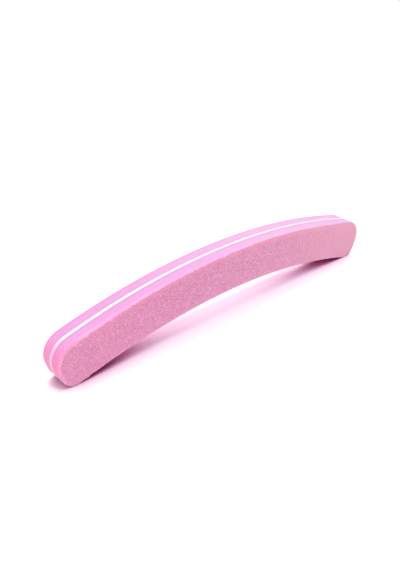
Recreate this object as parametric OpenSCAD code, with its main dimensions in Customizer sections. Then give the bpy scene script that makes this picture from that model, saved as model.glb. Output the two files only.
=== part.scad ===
// Curved sponge emery board, standing on its two tips with the arch up.
// X runs along the board, Z is up, Y runs through the layers: the coarse face
// looks along -Y and the fine face along +Y. The origin is on the resting plane,
// midway between the tips and midway through the thickness.

/* [Board outline] */
// Overall length from tip to tip
board_l = 178; // [140:1:220]
// Width of the board, measured across its curve
board_w = 19.2; // [16.4:0.2:30]
// Radius of the curve along the middle of the width
curve_r = 295; // [220:5:600]
// Corner radius of both ends on the outer side of the curve
outer_corner_r = 9.4; // [4:0.2:12]
// Corner radius of both ends on the inner side of the curve
inner_corner_r = 6.6; // [3:0.2:9.6]

/* [Stiff core] */
// Thickness of the white plastic core strip
core_t = 1.8; // [0.8:0.1:3]
// Thickness of the adhesive film on each side of the core
core_glue_t = 0.1; // [0.05:0.01:0.3]
// How far the core's adhesive stops short of the cut edge
core_glue_setback = 0.3; // [0.1:0.05:1]

/* [Foam] */
// Thickness of each foam layer
foam_t = 4.2; // [2:0.1:8]

/* [Abrasive sheets] */
// Thickness of the adhesive film under each abrasive sheet
face_glue_t = 0.08; // [0.05:0.01:0.2]
// Thickness of the paper that carries the grit
paper_t = 0.18; // [0.1:0.01:0.4]
// Thickness of the coarse grit and resin coat
coarse_grit_t = 0.22; // [0.1:0.01:0.5]
// Thickness of the fine grit and resin coat
fine_grit_t = 0.14; // [0.06:0.01:0.4]
// How far the foam springs back past the cut edge of the abrasive sheets
foam_proud = 0.7; // [0.1:0.05:1.2]

/* [Hidden] */

// Circles are true arcs at any value above 12
$fn = 96;

// Each corner's arc is this much larger than its radius, so that it crosses the
// edges cleanly where it would otherwise only graze them
crossing = 0.001;

// The long edges are two arcs about one centre
outer_r = curve_r + board_w / 2;
inner_r = curve_r - board_w / 2;

// Distance of each corner's centre from the centre of the long arcs
outer_corner_d = outer_r - outer_corner_r;
inner_corner_d = inner_r + inner_corner_r;

// The outer corners set the overall length, and the straight end between the
// corners lies on a radius of the long arcs. Angles are measured from the top.
outer_corner_a = asin((board_l / 2 - outer_corner_r) / outer_corner_d);
end_a = outer_corner_a + asin(outer_corner_r / outer_corner_d);
inner_corner_a = end_a - asin(inner_corner_r / inner_corner_d);

// The inner corners are the lowest points, and they rest on the plane Z = 0
arc_centre_z = inner_corner_r + crossing - inner_corner_d * cos(inner_corner_a);

// Layer positions, counted from the coarse face to the fine face
coarse_sheet_t = coarse_grit_t + paper_t + face_glue_t;
fine_sheet_t = fine_grit_t + paper_t + face_glue_t;
core_stack_t = core_t + 2 * core_glue_t;
total_t = coarse_sheet_t + foam_t + core_stack_t + foam_t + fine_sheet_t;
coarse_grit_y = -total_t / 2;
coarse_paper_y = coarse_grit_y + coarse_grit_t;
front_face_glue_y = coarse_paper_y + paper_t;
front_foam_y = front_face_glue_y + face_glue_t;
front_core_glue_y = front_foam_y + foam_t;
core_y = front_core_glue_y + core_glue_t;
rear_core_glue_y = core_y + core_t;
rear_foam_y = rear_core_glue_y + core_glue_t;
rear_face_glue_y = rear_foam_y + foam_t;
fine_paper_y = rear_face_glue_y + face_glue_t;
fine_grit_y = fine_paper_y + paper_t;

// Unit direction that is a given angle away from the top, towards +X
function from_top(a) = [sin(a), cos(a)];

// What rounding takes off one corner: a block outside a disc, between the two
// directions in which the disc meets the edges
module corner_waste(centre, r, a_from, a_to) {
    along_from = 2 * r * from_top(a_from);
    along_to = 2 * r * from_top(a_to);
    translate(centre)
        difference() {
            polygon([[0, 0], along_from, along_from + along_to, along_to]);
            circle(r + crossing);
        }
}

// What is cut away at the +X end: all that lies past the end line, and the waste
// of both corners. It is drawn with the end line upright on x = 0, from the point
// where that line meets the inner arc.
module end_waste(setback) {
    reach = 2 * outer_r;
    outer_a = outer_corner_a - end_a;
    inner_a = inner_corner_a - end_a;
    outer_c = [-outer_corner_r, outer_corner_d * cos(outer_a) - inner_r];
    inner_c = [-inner_corner_r, inner_corner_d * cos(inner_a) - inner_r];
    rotate(-end_a)
        translate([0, inner_r]) {
            translate([-setback, -reach]) square([reach, 2 * reach]);
            corner_waste(outer_c, outer_corner_r - setback, outer_a, 90);
            corner_waste(inner_c, inner_corner_r - setback, 90, inner_a + 180);
        }
}

// The whole outline, drawn in by the setback all round
module outline(setback) {
    translate([0, arc_centre_z])
        difference() {
            circle(outer_r - setback);
            circle(inner_r + setback);
            end_waste(setback);
            mirror([1, 0]) end_waste(setback);
        }
}

// One sheet of the laminate, from a place in Y towards the fine face
module layer(from_y, thickness, setback = 0) {
    translate([0, from_y + thickness, 0])
        rotate([90, 0, 0])
            linear_extrude(height = thickness)
                outline(setback);
}

// White plastic strip that keeps the board's curve
module core_strip() {
    color([0.99, 0.96, 0.98]) layer(core_y, core_t);
}

module front_core_glue() {
    color([0.83, 0.72, 0.80]) layer(front_core_glue_y, core_glue_t, core_glue_setback);
}

module rear_core_glue() {
    color([0.83, 0.72, 0.80]) layer(rear_core_glue_y, core_glue_t, core_glue_setback);
}

module front_foam() {
    color([0.98, 0.72, 0.93]) layer(front_foam_y, foam_t);
}

module rear_foam() {
    color([0.98, 0.72, 0.93]) layer(rear_foam_y, foam_t);
}

module front_face_glue() {
    color([0.93, 0.66, 0.80]) layer(front_face_glue_y, face_glue_t, foam_proud);
}

module rear_face_glue() {
    color([0.93, 0.66, 0.80]) layer(rear_face_glue_y, face_glue_t, foam_proud);
}

module coarse_paper() {
    color([0.92, 0.64, 0.76]) layer(coarse_paper_y, paper_t, foam_proud);
}

module fine_paper() {
    color([0.92, 0.64, 0.76]) layer(fine_paper_y, paper_t, foam_proud);
}

// Grit in a resin coat, the side that shapes the nail
module coarse_grit() {
    color([0.87, 0.58, 0.73]) layer(coarse_grit_y, coarse_grit_t, foam_proud);
}

// Finer grit in a resin coat, the side that smooths the nail
module fine_grit() {
    color([0.97, 0.53, 0.72]) layer(fine_grit_y, fine_grit_t, foam_proud);
}

core_strip();
front_core_glue();
rear_core_glue();
front_foam();
rear_foam();
front_face_glue();
rear_face_glue();
coarse_paper();
fine_paper();
coarse_grit();
fine_grit();
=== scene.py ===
import bpy
import math
import random
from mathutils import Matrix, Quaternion, Vector, noise


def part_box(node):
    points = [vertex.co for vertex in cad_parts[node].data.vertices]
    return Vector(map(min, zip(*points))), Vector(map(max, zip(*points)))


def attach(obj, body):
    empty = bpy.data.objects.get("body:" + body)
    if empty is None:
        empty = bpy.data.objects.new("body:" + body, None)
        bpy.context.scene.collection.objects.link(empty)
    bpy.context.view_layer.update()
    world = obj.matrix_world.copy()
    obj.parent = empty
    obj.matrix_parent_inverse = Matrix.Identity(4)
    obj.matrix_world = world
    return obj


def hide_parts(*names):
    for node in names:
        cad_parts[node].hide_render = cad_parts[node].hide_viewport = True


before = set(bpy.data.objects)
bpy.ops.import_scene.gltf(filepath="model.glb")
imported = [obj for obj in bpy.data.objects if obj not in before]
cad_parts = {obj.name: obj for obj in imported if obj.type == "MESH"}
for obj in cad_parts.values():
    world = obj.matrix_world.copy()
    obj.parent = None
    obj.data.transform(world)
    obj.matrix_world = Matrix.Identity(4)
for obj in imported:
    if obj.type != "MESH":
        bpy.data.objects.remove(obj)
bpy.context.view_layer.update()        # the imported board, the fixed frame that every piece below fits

scene = bpy.context.scene
scene.view_settings.view_transform = "Standard"


# Camera, fitted to the photograph's view of the board

cameraSettings = {
    "place": (-0.18969, -0.18971, 0.16876),
    "forward": (0.58420, 0.63296, -0.50801),
    "roll": 1.635,            # degrees, the right-hand side of the picture a little up
    "lens": 44.122,           # on the sensor below, along the picture's long side
    "sensor": 36,
    "clip": (0.01, 20),
}


def makeCamera():
    cameraData = bpy.data.cameras.new("photoCamera")
    camera = bpy.data.objects.new("photoCamera", cameraData)
    scene.collection.objects.link(camera)
    cameraData.lens = cameraSettings["lens"]
    cameraData.sensor_width = cameraSettings["sensor"]
    cameraData.sensor_fit = "AUTO"
    cameraData.clip_start, cameraData.clip_end = cameraSettings["clip"]
    aim = Vector(cameraSettings["forward"]).to_track_quat("-Z", "Y")
    turn = Quaternion((0, 0, 1), math.radians(cameraSettings["roll"]))
    camera.rotation_mode = "QUATERNION"
    camera.rotation_quaternion = aim @ turn
    camera.location = cameraSettings["place"]
    scene.camera = camera


makeCamera()
print("camera ready")


# Nodes: a wire is an output socket that adds, multiplies and compares like a number

class Wire:
    def __init__(self, finish, socket):
        self.finish = finish
        self.socket = socket

    def __add__(self, other):
        return self.finish.math("ADD", self, other)

    def __radd__(self, other):
        return self.finish.math("ADD", other, self)

    def __sub__(self, other):
        return self.finish.math("SUBTRACT", self, other)

    def __rsub__(self, other):
        return self.finish.math("SUBTRACT", other, self)

    def __mul__(self, other):
        return self.finish.math("MULTIPLY", self, other)

    def __rmul__(self, other):
        return self.finish.math("MULTIPLY", other, self)

    def __gt__(self, other):
        return self.finish.math("GREATER_THAN", self, other)

    def __lt__(self, other):
        return self.finish.math("LESS_THAN", self, other)


class Finish:       # the nodes of one material, or of the room
    def __init__(self, owner):
        owner.use_nodes = True
        self.owner = owner
        self.nodes = owner.node_tree.nodes
        self.links = owner.node_tree.links
        self.nodes.clear()
        self.place = self.add("TexCoord", {}, {}, "Object")

    def add(self, kind, settings, sockets, output=0):
        node = self.nodes.new("ShaderNode" + kind)
        for name, value in settings.items():
            setattr(node, name, value)
        for name, value in sockets.items():
            if isinstance(value, Wire):
                self.links.new(value.socket, node.inputs[name])
            else:
                node.inputs[name].default_value = value
        return Wire(self, node.outputs[output]) if node.outputs else None

    def math(self, operation, left, right):
        return self.add("Math", {"operation": operation}, {0: left, 1: right})

    def mix(self, factor, first, second, blend="MIX"):
        colours = {}
        for name, value in ((6, first), (7, second)):
            colours[name] = value if isinstance(value, Wire) else (*value, 1)
        colours[0] = factor
        return self.add("Mix", {"data_type": "RGBA", "blend_type": blend}, colours, 2)

    def step(self, value, start, end):
        ramp = {"Value": value, "From Min": start, "From Max": end}
        return self.add("MapRange", {"interpolation_type": "SMOOTHSTEP"}, ramp)

    def noise(self, size, detail, rough):
        sockets = {"Vector": self.place, "Scale": 1 / size, "Detail": detail, "Roughness": rough}
        return self.add("TexNoise", {}, sockets)

    def cells(self, size, output="Distance"):
        return self.add("TexVoronoi", {}, {"Vector": self.place, "Scale": 1 / size}, output)

    def axis(self, wire, name):     # one coordinate of a place or a normal
        return self.add("SeparateXYZ", {}, {0: wire}, name)

    def unsigned(self, value):
        return self.math("ABSOLUTE", value, 0)

    def bump(self, height, depth, strength):
        return self.add("Bump", {}, {"Height": height, "Distance": depth, "Strength": strength})

    def surface(self, sockets):
        return self.close(self.add("BsdfPrincipled", {}, sockets))

    def close(self, shader):
        self.add("OutputMaterial", {}, {"Surface": shader})
        return self.owner


def paint(piece, material):
    piece.data.materials.clear()
    piece.data.materials.append(material)


# Light: one wide soft panel overhead and a weak one in front, inside an even pale room

lightSettings = {
    "room": 0.32,               # what the room gives, while the camera sees it plain white
    "white": (1, 1, 1, 1),
    "panels": (
        {"name": "softPanel", "place": (0.22, 0.38, 1.3), "size": 1.9, "power": 19.5},
        {"name": "frontFill", "place": (-0.85, -0.95, 0.42), "size": 1.2, "power": 9.5},
    ),
}


def makeRoom():
    scene.world = bpy.data.worlds.new("paleRoom")
    finish = Finish(scene.world)
    camera, glossy, through = [
        finish.add("LightPath", {}, {}, f"Is {kind} Ray") for kind in ("Camera", "Glossy", "Transmission")
    ]
    seen = finish.math("MAXIMUM", finish.math("MAXIMUM", camera, glossy), through)
    white = {"Color": lightSettings["white"]}
    room = finish.add("Background", {}, {**white, "Strength": lightSettings["room"]})
    backdrop = finish.add("Background", {}, {**white, "Strength": 1})
    choice = finish.add("MixShader", {}, {0: seen, 1: room, 2: backdrop})
    finish.add("OutputWorld", {}, {"Surface": choice})


def makePanel(settings):
    panelData = bpy.data.lights.new(settings["name"], "AREA")
    panelData.shape = "DISK"
    panelData.size = settings["size"]
    panelData.energy = settings["power"]
    panel = bpy.data.objects.new(settings["name"], panelData)
    scene.collection.objects.link(panel)
    panel.location = settings["place"]
    panel.rotation_mode = "QUATERNION"
    panel.rotation_quaternion = (-Vector(settings["place"])).to_track_quat("-Z", "Y")


makeRoom()
for panelSettings in lightSettings["panels"]:
    makePanel(panelSettings)
print("light ready")


# The floor is white where nothing shades it, and keeps the shadow, which its colour paints darker and
# pinker near the board

paleFloor = {
    "size": 8.0,
    "seen": (1.42, 1.27, 1.37),     # over 1, so that the open floor is white in the picture
    "shaded": (0.97, 0.36, 0.61),   # the painted shade under the board's ends
    "creased": (0.25, 0.030, 0.11),     # painted contact shadow where the board almost touches the floor
    "shadedOutside": (0.99, 0.80, 0.86),    # past the left-hand end the painted shade is greyer and lighter
    "creasedOutside": (0.63, 0.42, 0.53),
    "glow": (0.98, 0.79, 0.79),     # painted pink light, for what the foam throws on the floor behind the middle
    "lit": (0.92, 0.92, 0.92),      # what the floor throws back on the board
    "fades": (0.30, 0.80),          # from here to here it turns into plain white backdrop
    "reach": 0.020,                 # how near the board has to be to shade it
    "samples": 12,
    "slope": 0.4,                   # the shade lightens towards the right, by this much per metre
    "slopeEnd": 0.1,                # and stops changing this far from the middle
    "rearSlope": 30,                # behind the right-hand end it lightens too, per metre away from it
    "rearAlong": (0.035, 0.055),
    "creaseSteps": (0.24, 0.51),    # between these the painted crease shadow gives way to the painted shade
    "openSteps": (0.42, 0.575),     # and between these the shade to the open floor
    "pivot": 0.40,                  # about this openness the edge of the shade is made sharper
    "sharpness": 1.15,
    "leftSharpness": 1.8,           # and more so towards the left, per metre
    "outsideAlong": (-0.079, -0.086),
    "pastAlong": (-0.083, -0.089),
    "pastDarker": 0.11,
    "glowAlong": (0.062, 0.045),
    "glowRise": (0.0, 0.004),       # how the painted glow comes and goes behind the board
    "glowFall": (0.008, 0.004),
}


# Painted shadow: the board's nearness, read by ambient occlusion, darkens and tints the floor's colour
def floorShade(finish):
    along = finish.math("MAXIMUM", finish.axis(finish.place, "X"), -paleFloor["slopeEnd"])
    along = finish.math("MINIMUM", along, paleFloor["slopeEnd"])
    across = finish.axis(finish.place, "Y")
    reach = {"Distance": paleFloor["reach"]}
    openness = finish.add("AmbientOcclusion", {"samples": paleFloor["samples"]}, reach, "AO")
    openness = openness + along * paleFloor["slope"]
    behind = finish.math("MAXIMUM", across, 0) * finish.step(along, *paleFloor["rearAlong"])
    openness = openness + behind * paleFloor["rearSlope"]
    openness = openness - finish.step(along, *paleFloor["pastAlong"]) * paleFloor["pastDarker"]
    depth = finish.step(openness, *paleFloor["creaseSteps"])
    shade = finish.mix(depth, paleFloor["creased"], paleFloor["shaded"])
    outside = finish.mix(depth, paleFloor["creasedOutside"], paleFloor["shadedOutside"])
    shade = finish.mix(finish.step(along, *paleFloor["outsideAlong"]), shade, outside)
    sharpness = paleFloor["sharpness"] - along * paleFloor["leftSharpness"]
    sharper = (openness - paleFloor["pivot"]) * sharpness + paleFloor["pivot"]
    shade = finish.mix(finish.step(sharper, *paleFloor["openSteps"]), shade, paleFloor["seen"])
    # painted pink light on the floor behind the middle of the board
    glow = finish.step(across, *paleFloor["glowRise"]) * finish.step(across, *paleFloor["glowFall"])
    glow = glow * finish.step(finish.unsigned(along), *paleFloor["glowAlong"])
    return finish.mix(glow, shade, paleFloor["glow"], "MULTIPLY")


def makeFloor():
    bpy.ops.object.select_all(action="DESELECT")
    bpy.ops.mesh.primitive_plane_add(size=paleFloor["size"], location=(0, 0, 0))
    floor = bpy.context.object
    floor.name = "paleFloor"
    finish = Finish(bpy.data.materials.new("paleFloor"))
    seen = finish.add("LightPath", {}, {}, "Is Camera Ray")
    colour = finish.mix(seen, paleFloor["lit"], floorShade(finish))
    near = finish.add("BsdfDiffuse", {}, {"Color": colour})
    away = finish.add("VectorMath", {"operation": "LENGTH"}, {0: finish.place}, "Value")
    far = finish.add("Emission", {}, {"Color": lightSettings["white"], "Strength": 1.0})
    fade = finish.step(away, *paleFloor["fades"]) * seen
    paint(floor, finish.close(finish.add("MixShader", {}, {0: fade, 1: near, 2: far})))


makeFloor()
print("floor ready")


# The board's outline, which every layer is cut to

outline = {
    "curveRadius": 0.295,       # along the middle of the width
    "width": 0.0192,
    "outerCorner": 0.0094,
    "innerCorner": 0.0066,
    "arcSteps": 240,            # for half of each long edge
    "cornerSteps": 36,
    "endSteps": 10,
    "seed": 0.001,              # the plane that is merged into each outline's first point
    "hair": 1e-5,               # what lies nearer than this to the middle lies on it
}
outerRadius = outline["curveRadius"] + outline["width"] / 2
innerRadius = outline["curveRadius"] - outline["width"] / 2
outerReach = outerRadius - outline["outerCorner"]
innerReach = innerRadius + outline["innerCorner"]
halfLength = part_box("front_foam")[1].x
outerTurn = math.asin((halfLength - outline["outerCorner"]) / outerReach)
endTurn = outerTurn + math.asin(outline["outerCorner"] / outerReach)
innerTurn = endTurn - math.asin(outline["innerCorner"] / innerReach)
arcCentre = Vector((0, 0, outline["innerCorner"] - innerReach * math.cos(innerTurn)))


def fromTop(centre, radius, turn):      # a point on a circle, its turn counted from the top
    return Vector((centre.x + radius * math.sin(turn), 0, centre.z + radius * math.cos(turn)))


outerCentre = fromTop(arcCentre, outerReach, outerTurn)
innerCentre = fromTop(arcCentre, innerReach, innerTurn)


def edgeDistance(x, z):     # how far a point of the face lies inside the outline
    point = Vector((abs(x), 0, z))
    arm = point - arcCentre
    turn = math.atan2(arm.x, arm.z)
    toOuter = point - outerCentre
    toInner = point - innerCentre
    outerSide = math.atan2(toOuter.x, toOuter.z)
    innerSide = math.atan2(toInner.x, toInner.z) % (2 * math.pi)
    if outerTurn < outerSide < endTurn + math.pi / 2:
        return outline["outerCorner"] - toOuter.length
    if endTurn + math.pi / 2 < innerSide < innerTurn + math.pi:
        return outline["innerCorner"] - toInner.length
    toEnd = arm.length * math.sin(endTurn - turn)
    return min(outerRadius - arm.length, arm.length - innerRadius, toEnd)


trims = {       # both sides' sheets stop short of the foam's edge, and may sit low and to the right on it
    "coarse": {"inset": 0.00050, "drop": 0.00045, "shift": 0.00038, "flushFrom": 0.067},
    "fine": {"inset": 0.00015, "drop": -0.00012, "shift": 0.0, "flushFrom": 1.0},
    "flushInset": 0.00006,      # to the right of flushFrom they come this near the foam's edge
    "flushOver": 0.018,         # and this gradually
}


def clamp(value, least=0):
    return min(max(value, least), 1)


def flushShare(x, trim):
    return clamp((x - trim["flushFrom"]) / trims["flushOver"])


def sheetEdgeDistance(x, z, trim):      # and how far inside the sheets' own outline
    share = flushShare(x, trim)
    own = edgeDistance(x - trim["shift"], z + trim["drop"]) - trim["inset"]
    return own * (1 - share) + (edgeDistance(x, z) - trims["flushInset"]) * share


def inwardFrom(co):     # the direction in which a point gets away from the outline fastest
    step = 0.00002
    x = edgeDistance(co.x + step, co.z) - edgeDistance(co.x - step, co.z)
    z = edgeDistance(co.x, co.z + step) - edgeDistance(co.x, co.z - step)
    return Vector((x, 0, z)).normalized()


def onOuterHalf(co):
    return (co - arcCentre).xz.length > outline["curveRadius"]


def onCurve(finish, start, end):        # a step over the board's width, counted from its middle line
    arm = {0: finish.place, 1: arcCentre}
    away = finish.add("VectorMath", {"operation": "DISTANCE"}, arm, "Value")
    return finish.step(away, outline["curveRadius"] + start, outline["curveRadius"] + end)


# Modelling steps that the layers share

def nodeDepth(node):        # how far from the middle of the thickness a CAD node starts and ends
    low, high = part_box(node)
    return sorted((abs(low.y), abs(high.y)))


def pickOnly(piece):
    bpy.ops.object.select_all(action="DESELECT")
    piece.select_set(True)
    bpy.context.view_layer.objects.active = piece


def editOnly(piece):
    pickOnly(piece)
    bpy.ops.object.mode_set(mode="EDIT")
    bpy.ops.mesh.select_mode(type="VERT")


def objectMode():
    bpy.ops.object.mode_set(mode="OBJECT")


def swing(centre, y, angle, steps):
    pivot = (centre.x, y, centre.z)
    bpy.ops.mesh.spin(steps=steps, angle=-angle, center=pivot, axis=(0, 1, 0), use_auto_merge=False)


def cutFlat(name, inset, y, outward):       # one flat face in the board's outline
    bpy.ops.object.select_all(action="DESELECT")
    top = fromTop(arcCentre, outerRadius - inset, 0)
    bpy.ops.mesh.primitive_plane_add(size=outline["seed"], location=(0, y, top.z))
    piece = bpy.context.object
    piece.name = name
    bpy.ops.object.transform_apply(location=True, rotation=True, scale=True)
    editOnly(piece)
    bpy.ops.mesh.merge(type="CENTER")
    squareTurn = endTurn + math.pi / 2
    swing(arcCentre, y, outerTurn, outline["arcSteps"])
    swing(outerCentre, y, squareTurn - outerTurn, outline["cornerSteps"])
    lineStart = fromTop(outerCentre, outline["outerCorner"] - inset, squareTurn)
    lineEnd = fromTop(innerCentre, outline["innerCorner"] - inset, squareTurn)
    move = (lineEnd - lineStart) / outline["endSteps"]
    for step in range(outline["endSteps"]):
        bpy.ops.mesh.extrude_region_move(TRANSFORM_OT_translate={"value": move})
    swing(innerCentre, y, innerTurn + math.pi - squareTurn, outline["cornerSteps"])
    swing(arcCentre, y, -innerTurn, outline["arcSteps"])
    objectMode()
    for vertex in piece.data.vertices:      # both ends of the half outline lie on the middle
        if abs(vertex.co.x) < outline["hair"]:
            vertex.co.x = 0
    half = piece.modifiers.new("otherHalf", "MIRROR")
    half.merge_threshold = outline["hair"] / 10
    bpy.ops.object.modifier_apply(modifier=half.name)
    editOnly(piece)
    bpy.ops.mesh.select_all(action="SELECT")
    bpy.ops.mesh.edge_face_add()
    objectMode()
    if piece.data.polygons[0].normal.y * outward < 0:
        editOnly(piece)
        bpy.ops.mesh.select_all(action="SELECT")
        bpy.ops.mesh.flip_normals()
        objectMode()
    return piece


def selectBigFace(piece, outward):      # the whole face on one side, the largest that looks that way
    objectMode()
    best = max(piece.data.polygons, key=lambda face: face.area * (face.normal.y * outward > 0.9))
    number = best.index
    editOnly(piece)
    bpy.ops.mesh.select_mode(type="FACE")
    bpy.ops.mesh.select_all(action="DESELECT")
    objectMode()
    piece.data.polygons[number].select = True
    bpy.ops.object.mode_set(mode="EDIT")


def rollRim(radius, rows):      # inset rings that round the rim of the selected face
    turns = [math.pi / 2 * row / rows for row in range(rows + 1)]
    for turn, nextTurn in zip(turns, turns[1:]):
        across = radius * (math.cos(turn) - math.cos(nextTurn))
        rise = radius * (math.sin(nextTurn) - math.sin(turn))
        bpy.ops.mesh.inset(thickness=across, depth=rise, use_even_offset=True)


def raiseWall(height, outward, rows):
    bpy.ops.mesh.select_all(action="SELECT")
    for row in range(rows):
        move = (0, height / rows * outward, 0)
        bpy.ops.mesh.extrude_region_move(TRANSFORM_OT_translate={"value": move})


def softShade(piece, degrees):
    pickOnly(piece)
    bpy.ops.object.shade_smooth_by_angle(angle=math.radians(degrees))


def ruffle(piece, weights, kind, size, depth, direction="NORMAL", level=0.0, detail=2):
    texture = bpy.data.textures.new(piece.name + kind, kind)
    texture.noise_scale = size
    if kind == "CLOUDS":
        texture.noise_depth = detail
    push = piece.modifiers.new("ruffle", "DISPLACE")
    push.texture = texture
    push.texture_coords = "LOCAL"
    push.direction = direction
    push.mid_level = level
    push.strength = depth
    push.vertex_group = weights
    bpy.context.view_layer.objects.active = piece
    bpy.ops.object.modifier_apply(modifier=push.name)


def weigh(piece, name, rule):       # a vertex group from each vertex's own place
    group = piece.vertex_groups.new(name=name)
    for vertex in piece.data.vertices:
        weight = rule(vertex.co)
        if weight > 0:
            group.add([vertex.index], weight, "ADD")
    return name


def place(piece, node, material):
    paint(piece, material)
    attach(piece, "root")
    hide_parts(node)


# Foam: die-cut sponge with a cut wall that wanders a little

foam = {
    "faceRoll": 0.00022,        # the small rim beside the grit
    "faceRows": 4,
    "coreRoll": 0.00016,        # and the one beside the core
    "coreRows": 3,
    "wallRows": 11,
    "waver": 0.00005,           # how far the cut wall wanders, always inwards
    "waverSize": 0.0045,
    "fineWaverSize": 0.0007,
    # painted light: the top's lilac is how strong light from above shows the hot pink foam
    "topColour": (0.815, 0.334, 0.700),
    "farColour": (0.860, 0.463, 0.775),     # painted light: the right-hand part is paler
    "paling": (-0.075, 0.05),
    "rearPaling": 0.012,        # in the rear layer this much further to the left
    "endColour": (0.965, 0.240, 0.550),     # painted shade: the ends, where they turn down, are hotter pink than the top
    "rearEndColour": (0.985, 0.275, 0.560),
    "rearEndWeaker": 0.12,
    "endTurned": (0.42, 0.99),  # how far a wall faces left or right there
    "rimColour": (1.000, 0.470, 0.860),     # painted light on the narrow ledge beside the coarse sheet, which faces forward
    # painted light, paler still at the right
    "farRimColour": (0.980, 0.590, 0.900),
    # painted shade on the ledge's lower half and at its ends
    "lowRimColour": (0.820, 0.290, 0.500),
    "endRimColour": (0.895, 0.310, 0.565),
    "rimTurned": (0.3, 0.9),    # how far the ledge faces forward
    "rimFrom": 0.004,           # and how far out it lies
    "endRim": (0.0780, 0.0860),
    "lowRim": (-0.001, -0.006),
    "greyed": (0.925, 1.0, 0.945),      # what dulls it: painted shade beside the core, where the glue line is recessed, and a duller line along the rear edge
    "greyedCore": (0.0022, 0.0014),
    "greyedRear": (0.0041, 0.0048),
    "paled": (1.0, 1.12, 1.02),         # and a painted highlight that lightens it beside the coarse sheet
    "paledFront": (-0.0040, -0.0050),
    "cloudSize": 0.006,
    "cloudColour": (0.99, 0.62, 0.86),
    "cloudShare": 0.30,
    "cloudLevel": 0.06,
    "poreSize": 0.00028,
    "pits": (0.30, 0.06),       # how near a pore's middle the painted shade darkens it
    "pitColour": (0.72, 0.28, 0.50),
    "pitShare": 0.16,
    "grainSize": 0.00045,
}


def foamFinish():
    finish = Finish(bpy.data.materials.new("pinkFoam"))
    normal = finish.add("TexCoord", {}, {}, "Normal")
    # painted light and shade by facing: lilac where the foam faces up, hotter pink where its walls face
    # the ends
    turned = finish.step(finish.unsigned(finish.axis(normal, "X")), *foam["endTurned"])
    rim = finish.step(finish.unsigned(finish.axis(normal, "Y")), *foam["rimTurned"])
    along = finish.axis(finish.place, "X")
    across = finish.axis(finish.place, "Y")
    offMiddle = finish.unsigned(across)
    behind = across > 0
    # painted light, paler towards the right-hand end, starting further left in the rear layer
    paling = finish.step(along + behind * foam["rearPaling"], *foam["paling"])
    colour = finish.mix(paling, foam["topColour"], foam["farColour"])
    endColour = finish.mix(behind, foam["endColour"], foam["rearEndColour"])
    colour = finish.mix(turned * (1 - behind * foam["rearEndWeaker"]), colour, endColour)
    # painted light on the forward-facing ledge, with painted shade at its ends and on its lower half
    rimColour = finish.mix(paling, foam["rimColour"], foam["farRimColour"])
    atEnd = finish.step(finish.unsigned(along), *foam["endRim"])
    rimColour = finish.mix(atEnd, rimColour, foam["endRimColour"])
    rimColour = finish.mix(onCurve(finish, *foam["lowRim"]), rimColour, foam["lowRimColour"])
    rim = rim * (offMiddle > foam["rimFrom"]) * (1 - behind)
    colour = finish.mix(rim, colour, rimColour)
    # painted shade beside the core, and the rear edge's duller line
    besideCore = finish.step(offMiddle, *foam["greyedCore"])
    greyed = finish.math("MAXIMUM", besideCore, finish.step(across, *foam["greyedRear"]))
    colour = finish.mix(greyed, colour, foam["greyed"], "MULTIPLY")
    # painted highlight along the edge beside the coarse sheet
    paled = finish.step(across, *foam["paledFront"])
    colour = finish.mix(paled, colour, foam["paled"], "MULTIPLY")
    cloudy = finish.noise(foam["cloudSize"], 3, 0.55)
    clouds = (cloudy - 0.5) * foam["cloudShare"] + foam["cloudLevel"]
    colour = finish.mix(clouds, colour, foam["cloudColour"])
    pores = finish.cells(foam["poreSize"])
    pits = finish.step(pores, *foam["pits"])
    # painted shade in the pores
    colour = finish.mix(pits * foam["pitShare"], colour, foam["pitColour"])
    height = pores * 0.6 + finish.noise(foam["grainSize"], 3, 0.6) * 0.5
    sockets = {
        "Base Color": colour,
        "Roughness": 0.62 + cloudy * 0.16,
        "Specular IOR Level": 0.30,
        "Sheen Weight": 0.12,
        "Sheen Roughness": 0.45,
        "Normal": finish.bump(height, 0.00009, 0.55),
    }
    return finish.surface(sockets)


def makeFoam(name, node, outward, material):
    coreSide, faceSide = nodeDepth(node)
    start = coreSide + foam["coreRoll"]
    end = faceSide - foam["faceRoll"]
    piece = cutFlat(name, 0, start * outward, outward)
    editOnly(piece)
    raiseWall(end - start, outward, foam["wallRows"])
    rollRim(foam["faceRoll"], foam["faceRows"])
    selectBigFace(piece, -outward)
    rollRim(foam["coreRoll"], foam["coreRows"])
    objectMode()
    wall = weigh(piece, "wall", lambda co: edgeDistance(co.x, co.z) < foam["faceRoll"] * 0.9)
    ruffle(piece, wall, "CLOUDS", foam["waverSize"], -foam["waver"], detail=1)
    ruffle(piece, wall, "CLOUDS", foam["fineWaverSize"], -foam["waver"] * 0.5)
    softShade(piece, degrees=40)
    place(piece, node, material)
    print(name, len(piece.data.polygons), "faces")


foamMaterial = foamFinish()
makeFoam("frontFoamPad", "front_foam", -1, foamMaterial)
makeFoam("rearFoamPad", "rear_foam", 1, foamMaterial)


# Core: the white strip between the foams, with its sheared edge

core = {
    "edgeRoll": 0.00012,
    "edgeRows": 3,
    "wallRows": 5,
    "waver": 0.00003,
    "waverSize": 0.0012,
    "colour": (0.915, 0.795, 0.885),
    # painted light: the right-hand part is paler
    "farColour": (0.965, 0.790, 0.940),
    "paling": (-0.01, 0.065),
    "edgeColour": (0.620, 0.500, 0.570),    # painted shade on its rolled corners, the grey lines beside the foams
    "edgeTurned": (0.25, 0.8),
    # painted pink shade on the ends, where they turn down
    "endColour": (1.000, 0.540, 0.730),
    "endTurned": (0.30, 0.95),
    "streakSize": 0.0009,
    "streakColour": (0.80, 0.72, 0.76),
    "streakShare": 0.12,
    "knotSize": 0.0009,         # pale spots on its two ends
    "knots": (0.34, 0.14),
    "knotColour": (1.0, 0.90, 0.84),
    "knotShare": 0.8,
}


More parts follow.
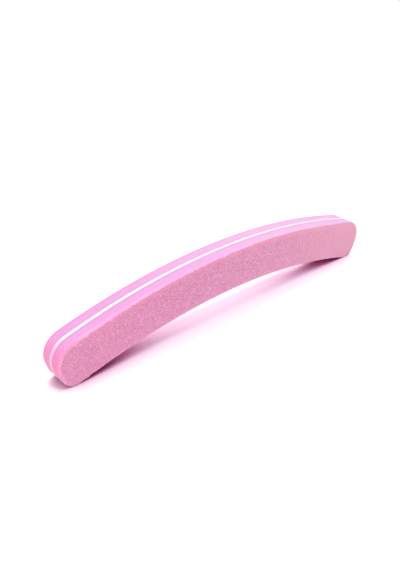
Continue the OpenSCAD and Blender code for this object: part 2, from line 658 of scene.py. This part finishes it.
def coreFinish():
    finish = Finish(bpy.data.materials.new("whiteCorePlastic"))
    normal = finish.add("TexCoord", {}, {}, "Normal")
    turned = finish.step(finish.unsigned(finish.axis(normal, "X")), *core["endTurned"])
    corner = finish.step(finish.unsigned(finish.axis(normal, "Y")), *core["edgeTurned"])
    # painted light, paler towards the right-hand end
    paling = finish.step(finish.axis(finish.place, "X"), *core["paling"])
    colour = finish.mix(paling, core["colour"], core["farColour"])
    # painted pink shade on the ends, by which way they face
    colour = finish.mix(turned, colour, core["endColour"])
    # painted shade on the rolled corners
    colour = finish.mix(corner, colour, core["edgeColour"])
    streaks = finish.noise(core["streakSize"], 3, 0.6)
    colour = finish.mix(streaks * core["streakShare"], colour, core["streakColour"])
    knots = finish.step(finish.cells(core["knotSize"]), *core["knots"])
    colour = finish.mix(knots * turned * core["knotShare"], colour, core["knotColour"])
    sockets = {
        "Base Color": colour,
        "Roughness": 0.34 + streaks * 0.2,
        "Specular IOR Level": 0.4,
        "Normal": finish.bump(streaks, 0.00004, 0.5),
    }
    return finish.surface(sockets)


def makeCore():
    low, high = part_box("core_strip")
    start = low.y + core["edgeRoll"]
    end = high.y - core["edgeRoll"]
    piece = cutFlat("corePlate", 0, start, 1)
    editOnly(piece)
    raiseWall(end - start, 1, core["wallRows"])
    rollRim(core["edgeRoll"], core["edgeRows"])
    selectBigFace(piece, -1)
    rollRim(core["edgeRoll"], core["edgeRows"])
    objectMode()
    wall = weigh(piece, "wall", lambda co: edgeDistance(co.x, co.z) < core["edgeRoll"])
    ruffle(piece, wall, "CLOUDS", core["waverSize"], -core["waver"])
    softShade(piece, degrees=40)
    place(piece, "core_strip", coreFinish())


makeCore()
print("core ready")


# Glue: thin films, the two beside the core a greyish line on the cut edge, partly their own colour and
# partly painted shade

glue = {
    # grey: partly the glue's own colour, partly painted shade of the recessed glue line
    "coreColour": (0.52, 0.42, 0.49),
    "faceColour": (0.93, 0.46, 0.72),
    "blotSize": 0.0011,
    "blotShade": 0.8,
}


def glueFinish(name, colour):
    finish = Finish(bpy.data.materials.new(name))
    blots = finish.noise(glue["blotSize"], 3, 0.6)
    tint = finish.mix(blots * 0.5, colour, [part * glue["blotShade"] for part in colour])
    sockets = {
        "Base Color": tint,
        "Roughness": 0.38 + blots * 0.25,
        "Normal": finish.bump(blots, 0.00003, 0.5),
    }
    return finish.surface(sockets)


coreGlue = glueFinish("greyCoreGlue", glue["coreColour"])
for name in ("front_core_glue", "rear_core_glue"):
    paint(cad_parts[name], coreGlue)
print("core glue ready")


# Sheets: adhesive and paper, cut a little short of the foam's edge

sheets = {
    "rows": 2,
    "fray": 0.00002,            # how far the cut paper edge frays
    "fraySize": 0.0008,
    "coarse": {"ragged": 0.00055, "scallop": 0.00130},      # how deep it breaks, and from one to the next
    "fine": {"ragged": 0.00005, "scallop": 0.00100},
    "paperPink": (0.93, 0.43, 0.67),
    "fibrePink": (0.93, 0.50, 0.62),
    "fibreSize": 0.0006,
}
breaks = {                      # what share of that depth breaks away
    "leftEnd": 0.9,
    "leftFrom": -0.050,
    "leftOver": 0.025,
    "outer": 0.45,              # along the outer curve, up to outerTo
    "outerTo": 0.078,
    "elsewhere": 0.06,
}


def breakEdge(piece, settings):     # the brittle coat breaks away in small scallops where it is cut
    for vertex in piece.data.vertices:
        left = clamp((breaks["leftFrom"] - vertex.co.x) / breaks["leftOver"])
        outer = onOuterHalf(vertex.co) and vertex.co.x < breaks["outerTo"]
        share = breaks["outer"] if outer else breaks["elsewhere"]
        depth = settings["ragged"] * (left * breaks["leftEnd"] + (1 - left) * share)
        nearest = noise.voronoi(Vector((vertex.co.x, 0, vertex.co.z)) / settings["scallop"])[0][0]
        vertex.co += inwardFrom(vertex.co) * depth * min(nearest, 1)


def cutSheet(name, node, outward, trim, settings, rows, roll=0.0, lift=0.0):
    inner, outer = nodeDepth(node)
    piece = cutFlat(name, trim["inset"], inner * outward, outward)
    for vertex in piece.data.vertices:
        vertex.co.x += trim["shift"]
        vertex.co.z -= trim["drop"]
        away = trims["flushInset"] - edgeDistance(vertex.co.x, vertex.co.z)
        vertex.co += inwardFrom(vertex.co) * away * flushShare(vertex.co.x, trim)
    breakEdge(piece, settings)
    editOnly(piece)
    raiseWall(outer + lift - inner - roll, outward, rows)
    if roll:
        rollRim(roll, coats["edgeRows"])
    objectMode()
    return piece


def paperFinish():
    finish = Finish(bpy.data.materials.new("pinkBackingPaper"))
    fibres = finish.noise(sheets["fibreSize"], 4, 0.65)
    tint = finish.mix(fibres * 0.5, sheets["paperPink"], sheets["fibrePink"])
    sockets = {
        "Base Color": tint,
        "Roughness": 0.8,
        "Specular IOR Level": 0.25,
        "Normal": finish.bump(fibres, 0.00005, 0.6),
    }
    return finish.surface(sockets)


paper = paperFinish()
faceGlue = glueFinish("pinkFaceGlue", glue["faceColour"])
for name, node, outward, trim, slot, material in (
    ("frontSheetGlue", "front_face_glue", -1, "coarse", "sheet_adhesive", faceGlue),
    ("rearSheetGlue", "rear_face_glue", 1, "fine", "sheet_adhesive", faceGlue),
    ("coarsePaperSheet", "coarse_paper", -1, "coarse", "backing_paper", paper),
    ("finePaperSheet", "fine_paper", 1, "fine", "backing_paper", paper),
):
    piece = cutSheet(name, node, outward, trims[trim], sheets[trim], sheets["rows"])
    wall = weigh(piece, "wall", lambda co: 1)
    ruffle(piece, wall, "CLOUDS", sheets["fraySize"], sheets["fray"], "X", level=0.5)
    softShade(piece, degrees=40)
    place(piece, node, material)
print("sheets ready")


# Grit coats: a finely divided bed of resin and grit, cut to the sheet's shape

coats = {
    "pitch": 0.00028,           # between the bed's rows
    "margin": 0.0001,           # how far the bed reaches past the board's width
    "turnMargin": 0.001,        # and past its ends, in radians
    "below": 0.0002,            # and how far below the shape that it is cut to
    "lift": 0.000004,           # how far that shape stands above the bed
    "edgeRoll": 0.00010,
    "edgeRows": 3,
    "crest": 0.00005,           # what lies no deeper than this belongs to the top
    "fineShare": 0.55,          # how big the small speckle is, against the grains
    "clumpSize": 0.0013,
    "grainTone": 0.85,          # what the grains, the small speckle and the clumps add to the tone
    "fineTone": 0.70,
    "clumpTone": 0.15,
    "hardness": 1.6,            # over 1 leaves fewer light grains
    "gathering": (-0.060, -0.020),      # to the left of this the speckle is weaker
    "leftContrast": 0.72,
    # painted light: paler towards the right-hand end
    "paling": (-0.045, 0.085),
    "fading": (0.015, 0.085),   # and from here on the right it is paler still, painted light, and its speckle smoother
    "paled": 0.35,
    "paledMore": 0.25,
    "lowFrom": 0.002,           # where the painted lighter lower half starts, from the middle line
    "lowColour": (1.0, 0.46, 0.76),
    "bandSteps": (0.15, 0.85),
    "bandWander": 0.4,
    "bandFadeFrom": -0.0865,    # the band along the outer edge fades out at the left-hand end
    "bandFadeOver": 0.006,
    "bandLeast": 0.25,
    "glintSize": 0.0011,
    "glintSteps": (0.16, 0.10),
    "glintFade": 0.8,
    "glintColour": (1.0, 0.72, 0.85),
}
coarse = {
    "relief": 0.00010,          # from the crests to the hollows of the bed
    "lump": 0.00060,
    "grain": 0.00030,
    "grainSize": 0.00036,
    "sunk": 0.00007,            # the bed lies this much below the tips of the grains
    "trim": "coarse",
    "ragged": 0.00105,          # how deep the scallops of its broken edge are at the left-hand end
    "scallop": 0.00130,         # from one to the next
    "base": (0.860, 0.294, 0.502),
    "light": (1.0, 0.560, 0.810),
    "dark": (0.620, 0.152, 0.320),
    # painted light: the colour that the right-hand end pales towards
    "paleEnd": (0.900, 0.470, 0.590),
    "contrast": 0.95,
    "smoothEnd": 0.32,          # how far the speckle fades towards the right-hand end
    # the band along the outer cut edge: partly the edge's own salmon colour, partly painted highlight
    # where the rolled edge catches light, paler at the right as painted light
    "band": (0.895, 0.312, 0.540),
    "farBand": (0.955, 0.420, 0.620),
    # painted highlight along the lower cut edge
    "lowBand": (0.850, 0.430, 0.600),
    "bandStrength": 0.90,
    "bandTop": 0.0031,          # its width along the outer curve
    "bandLow": 0.0018,          # and along the inner one
    "lowGlow": 0.14,            # how much painted light lightens the lower half
    "glint": 0.4,
}
fine = {
    "relief": 0.00003,
    "lump": 0.00050,
    "grain": 0.00026,
    "grainSize": 0.00030,
    "base": (0.960, 0.250, 0.510),
    "light": (1.0, 0.340, 0.600),
    "dark": (0.860, 0.200, 0.430),
    # painted light: the colour that the right-hand end pales towards
    "paleEnd": (0.900, 0.300, 0.500),
    "sunk": 0.0,
    "trim": "fine",
    "ragged": 0.00009,
    "scallop": 0.00100,
    "contrast": 0.8,
    "smoothEnd": 0.3,
    # as on the coarse side: partly own colour, partly painted highlight along the cut edges
    "band": (0.980, 0.420, 0.640),
    "farBand": (0.980, 0.420, 0.640),
    "lowBand": (0.980, 0.420, 0.640),
    "bandStrength": 0.6,
    "bandTop": 0.0008,
    "bandLow": 0.0008,
    "lowGlow": 0.0,
    "glint": 0.1,
}


def makeBed(name, outer, depth, outward):       # a curved slab with a finely divided top
    bpy.ops.object.select_all(action="DESELECT")
    bottom = innerRadius - coats["margin"]
    top = outerRadius + coats["margin"]
    start = fromTop(arcCentre, bottom, 0)
    bpy.ops.mesh.primitive_plane_add(size=outline["seed"], location=(0, outer * outward, start.z))
    bed = bpy.context.object
    bed.name = name
    editOnly(bed)
    bpy.ops.mesh.merge(type="CENTER")
    bpy.ops.mesh.extrude_region_move(TRANSFORM_OT_translate={"value": (0, 0, top - bottom)})
    bpy.ops.mesh.select_all(action="SELECT")
    bpy.ops.mesh.subdivide(number_cuts=round((top - bottom) / coats["pitch"]))
    objectMode()
    scene.cursor.location = arcCentre       # the row of points swings about the curve's centre
    bpy.ops.object.origin_set(type="ORIGIN_CURSOR")
    reach = endTurn + coats["turnMargin"]
    bed.rotation_euler = (0, -reach, 0)
    bpy.ops.object.transform_apply(location=False, rotation=True, scale=False)
    swingOver = bed.modifiers.new("swingOver", "SCREW")
    swingOver.axis = "Y"
    swingOver.angle = 2 * reach
    swingOver.steps = round(2 * reach * outline["curveRadius"] / coats["pitch"])
    swingOver.render_steps = swingOver.steps
    bpy.ops.object.modifier_apply(modifier=swingOver.name)
    bpy.ops.object.transform_apply(location=True, rotation=True, scale=True)
    scene.cursor.location = (0, 0, 0)
    editOnly(bed)
    bpy.ops.mesh.select_all(action="SELECT")
    bpy.ops.mesh.region_to_loop()
    bpy.ops.mesh.extrude_edges_move(TRANSFORM_OT_translate={"value": (0, -depth * outward, 0)})
    bpy.ops.mesh.edge_face_add()
    bpy.ops.mesh.select_all(action="SELECT")
    bpy.ops.mesh.normals_make_consistent(inside=False)
    objectMode()
    return bed


def makeCoat(name, node, outward, settings):
    inner, outer = nodeDepth(node)
    trim = trims[settings["trim"]]
    shape = cutSheet(name + "Shape", node, outward, trim, settings, 1, coats["edgeRoll"], coats["lift"])
    bed = makeBed(name, outer, outer - inner + coats["below"], outward)
    cut = bed.modifiers.new("cutToShape", "BOOLEAN")
    cut.operation = "INTERSECT"
    cut.solver = "MANIFOLD"
    cut.object = shape
    bpy.context.view_layer.objects.active = bed
    bpy.ops.object.modifier_apply(modifier=cut.name)
    bpy.data.objects.remove(shape)
    return bed


def roughen(piece, outward, settings):      # hollows are pressed in, so the crests stay level
    level = max(vertex.co.y * outward for vertex in piece.data.vertices) - coats["crest"]
    crest = weigh(piece, "crest", lambda co: co.y * outward > level)
    for vertex in piece.data.vertices:
        if vertex.co.y * outward > level:
            vertex.co.y -= settings["sunk"] * outward
    push = -outward * settings["relief"]
    ruffle(piece, crest, "CLOUDS", settings["lump"], push * 0.5, "Y")
    ruffle(piece, crest, "VORONOI", settings["grain"], push * 0.5, "Y")


def gritFinish(name, grit):
    finish = Finish(bpy.data.materials.new(name))
    along = finish.axis(finish.place, "X")
    speckle = finish.cells(grit["grainSize"], "Color")
    fineSpeckle = finish.cells(grit["grainSize"] * coats["fineShare"], "Color")
    clumps = finish.noise(coats["clumpSize"], 2, 0.5)
    tone = (speckle - 0.5) * coats["grainTone"] + (fineSpeckle - 0.5) * coats["fineTone"]
    tone = tone + (clumps - 0.5) * coats["clumpTone"] + 0.5
    tone = finish.math("POWER", finish.math("MAXIMUM", tone, 0), coats["hardness"])
    paling = finish.step(along, *coats["paling"])
    fading = finish.step(along, *coats["fading"])
    gathering = finish.step(along, *coats["gathering"]) * (1 - coats["leftContrast"])
    gathering = gathering + coats["leftContrast"]
    even = 1 - (1 - fading * grit["smoothEnd"]) * gathering * grit["contrast"]
    colour = finish.mix(tone, grit["dark"], grit["light"])
    colour = finish.mix(even, colour, grit["base"])
    # painted light, paler towards the right-hand end
    paled = paling * (coats["paled"] + fading * coats["paledMore"])
    colour = finish.mix(paled, colour, grit["paleEnd"])
    # painted light on the lower half, which sits nearer the floor
    low = onCurve(finish, coats["lowFrom"], -outline["width"] / 2)
    colour = finish.mix(low * grit["lowGlow"], colour, coats["lowColour"])
    edge = finish.add("Attribute", {"attribute_name": "rimNearness"}, {}, "Fac")
    wander = (speckle - 0.5) * coats["bandWander"] + (clumps - 0.5) * coats["bandWander"]
    band = finish.step(edge + wander, *coats["bandSteps"])
    # the outer band: partly own colour, partly painted highlight
    bandColour = finish.mix(paling, grit["band"], grit["farBand"])
    colour = finish.mix(band * grit["bandStrength"], colour, bandColour)
    # painted highlight along the lower cut edge
    lowBand = finish.step(wander - edge, *coats["bandSteps"])
    colour = finish.mix(lowBand * grit["bandStrength"], colour, grit["lowBand"])
    glint = finish.step(finish.cells(coats["glintSize"]), *coats["glintSteps"])
    glint = glint * (1 - fading * coats["glintFade"]) * grit["glint"]
    colour = finish.mix(glint, colour, coats["glintColour"])
    sockets = {
        "Base Color": colour,
        "Roughness": 0.78 - tone * 0.25,
        "Specular IOR Level": 0.35,
        "Normal": finish.bump(tone, 0.00012, 0.6),
    }
    return finish.surface(sockets)


def markRim(piece, settings):       # 1 at the outer cut edge and -1 at the inner one, 0 inside the bands
    rim = piece.data.attributes.new("rimNearness", "FLOAT", "POINT")
    for vertex in piece.data.vertices:
        inside = sheetEdgeDistance(vertex.co.x, vertex.co.z, trims[settings["trim"]])
        outer = onOuterHalf(vertex.co)
        near = clamp(1 - inside / settings["bandTop" if outer else "bandLow"])
        fade = clamp((vertex.co.x - coats["bandFadeFrom"]) / coats["bandFadeOver"], coats["bandLeast"])
        rim.data[vertex.index].value = near * fade if outer else -near


coarseGrit = gritFinish("coarseGrit", coarse)
fineGrit = gritFinish("fineGrit", fine)
for name, node, outward, settings, slot, material in (
    ("coarseGritCoat", "coarse_grit", -1, coarse, "coarse_abrasive", coarseGrit),
    ("fineGritCoat", "fine_grit", 1, fine, "fine_abrasive", fineGrit),
):
    piece = makeCoat(name, node, outward, settings)
    roughen(piece, outward, settings)
    markRim(piece, settings)
    softShade(piece, degrees=30)
    place(piece, node, material)
    print(name, len(piece.data.polygons), "faces")


# Grains: coarse crystals bedded in the resin, and crumbs along the cut edge of the coarse side

grains = {
    "tones": (0.0, 0.08, 0.16, 0.24, 0.32, 0.40, 0.50, 0.62, 1.0),      # one kind of crystal for each
    "unit": 0.001,              # the radius that a kind is modelled at
    "chipping": 0.0003,
    "radius": (0.00011, 0.00020),
    "paleRadius": (0.00018, 0.00026),       # the palest kind is the biggest
    "count": 5200,
    "clear": 0.00030,           # how far inside the sheet's edge the bedded grains stay
    "reach": 1.2,               # how far a grain reaches, against its radius
    "depth": 0.9,               # how deep its middle lies, against its radius
    "crumbs": 900,
    "crumbKind": 4,             # a crumb is of this kind or a paler one
    "crumbRadius": (0.00014, 0.00028),
    "crumbBand": (-0.00005, 0.00035),
    "crumbDrop": 0.00012,       # how much deeper than a bedded grain it may lie
    "thinnedFrom": -0.05,       # to the right of this some of the crumbs are left out
    "thinned": 0.5,
    "endCrumbs": 75,            # big pale ones round the left-hand end
    "endCrumbKinds": (6, 8),
    "endCrumbRadius": (0.00024, 0.00040),
    "endCrumbBand": (-0.00030, 0.00030),
    "endCrumbsTo": -0.066,
    "batch": 100,
    "dark": (0.680, 0.215, 0.420),
    "middle": (0.930, 0.435, 0.655),
    "light": (1.0, 0.720, 0.920),
    "paled": 0.5,
    "seed": 11,
}


def grainFinish():
    finish = Finish(bpy.data.materials.new("bedGrain"))
    tone = finish.add("Attribute", {"attribute_name": "grainTone"}, {}, "Fac")
    colour = finish.mix(finish.step(tone, 0, 0.5), grains["dark"], grains["middle"])
    colour = finish.mix(finish.step(tone, 0.5, 1), colour, grains["light"])
    fading = finish.step(finish.axis(finish.place, "X"), *coats["fading"])
    # painted light, paler towards the right-hand end
    colour = finish.mix(fading * grains["paled"], colour, coarse["paleEnd"])
    sockets = {
        "Base Color": colour,
        "Roughness": 0.50 - tone * 0.2,
        "Specular IOR Level": 0.5,
    }
    return finish.surface(sockets)


def makeGrain(number, tone):    # a chipped crystal, scaled down where it is used
    bpy.ops.object.select_all(action="DESELECT")
    bpy.ops.mesh.primitive_ico_sphere_add(subdivisions=1, radius=grains["unit"])
    grain = bpy.context.object
    grain.name = f"grain{number}"
    editOnly(grain)
    bpy.ops.mesh.select_all(action="SELECT")
    stretch = (1 + 0.12 * (number % 3), 0.8 + 0.1 * (number % 2), 1)
    bpy.ops.transform.resize(value=stretch)
    bpy.ops.transform.vertex_random(offset=grains["chipping"], uniform=0.4, normal=0.3, seed=number)
    objectMode()
    shade = grain.data.attributes.new("grainTone", "FLOAT", "POINT")
    for vertex in grain.data.vertices:
        shade.data[vertex.index].value = tone
    return grain


def grainSpots():
    draw = random.Random(grains["seed"])
    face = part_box("coarse_grit")[0].y
    near, far = grains["crumbBand"]
    endNear, endFar = grains["endCrumbBand"]
    palest = len(grains["tones"]) - 1
    crumbs = grains["count"] + grains["crumbs"]
    spots = []
    while len(spots) < crumbs + grains["endCrumbs"]:
        bedded = len(spots) < grains["count"]
        big = len(spots) >= crumbs
        turn = draw.uniform(-endTurn, endTurn)
        spot = fromTop(arcCentre, draw.uniform(innerRadius, outerRadius), turn)
        inside = sheetEdgeDistance(spot.x, spot.z, trims["coarse"])
        kind = draw.randrange(0 if bedded else grains["crumbKind"], palest + 1)
        radius = draw.uniform(*grains["paleRadius" if kind == palest else "radius"])
        if not bedded:
            radius = draw.uniform(*grains["crumbRadius"])
        if edgeDistance(spot.x, spot.z) < radius * grains["reach"]:
            continue
        if bedded and inside < grains["clear"]:
            continue
        if not bedded and not big and not near < inside < far:
            continue
        if not bedded and spot.x > grains["thinnedFrom"] and draw.random() < grains["thinned"]:
            continue
        if big:
            if spot.x > grains["endCrumbsTo"] or not endNear < inside < endFar:
                continue
            kind = draw.randrange(*grains["endCrumbKinds"])
            radius = draw.uniform(*grains["endCrumbRadius"])
        spot.y = face + radius * grains["depth"]
        if not bedded:
            spot.y += draw.uniform(0, grains["crumbDrop"])
        turns = [draw.uniform(0, 2 * math.pi) for axis in range(3)]
        spots.append((kind, spot, radius, turns))
    return spots


def joinAll(pieces):
    bpy.ops.object.select_all(action="DESELECT")
    for piece in pieces:
        piece.select_set(True)
    bpy.context.view_layer.objects.active = pieces[0]
    bpy.ops.object.join()
    return bpy.context.object


def scatterGrains(name):
    kinds = [makeGrain(number, tone) for number, tone in enumerate(grains["tones"])]
    spots = grainSpots()
    batches = []
    for start in range(0, len(spots), grains["batch"]):     # joined in batches, which is much quicker
        batch = []
        for kind, spot, radius, turns in spots[start:start + grains["batch"]]:
            grain = kinds[kind].copy()
            grain.data = grain.data.copy()
            grain.location = spot
            grain.rotation_euler = turns
            grain.scale = [radius / grains["unit"]] * 3
            scene.collection.objects.link(grain)
            batch.append(grain)
        batches.append(joinAll(batch))
    for kind in kinds:
        bpy.data.objects.remove(kind)
    piece = joinAll(batches)
    bpy.ops.object.transform_apply(location=True, rotation=True, scale=True)
    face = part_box("coarse_grit")[0].y
    for vertex in piece.data.vertices:      # tips worn level with the board's face
        vertex.co.y = max(vertex.co.y, face)
    piece.name = name
    place(piece, "coarse_grit", grainFinish())
    print(name, len(piece.data.polygons), "faces")


scatterGrains("coarseGrains")
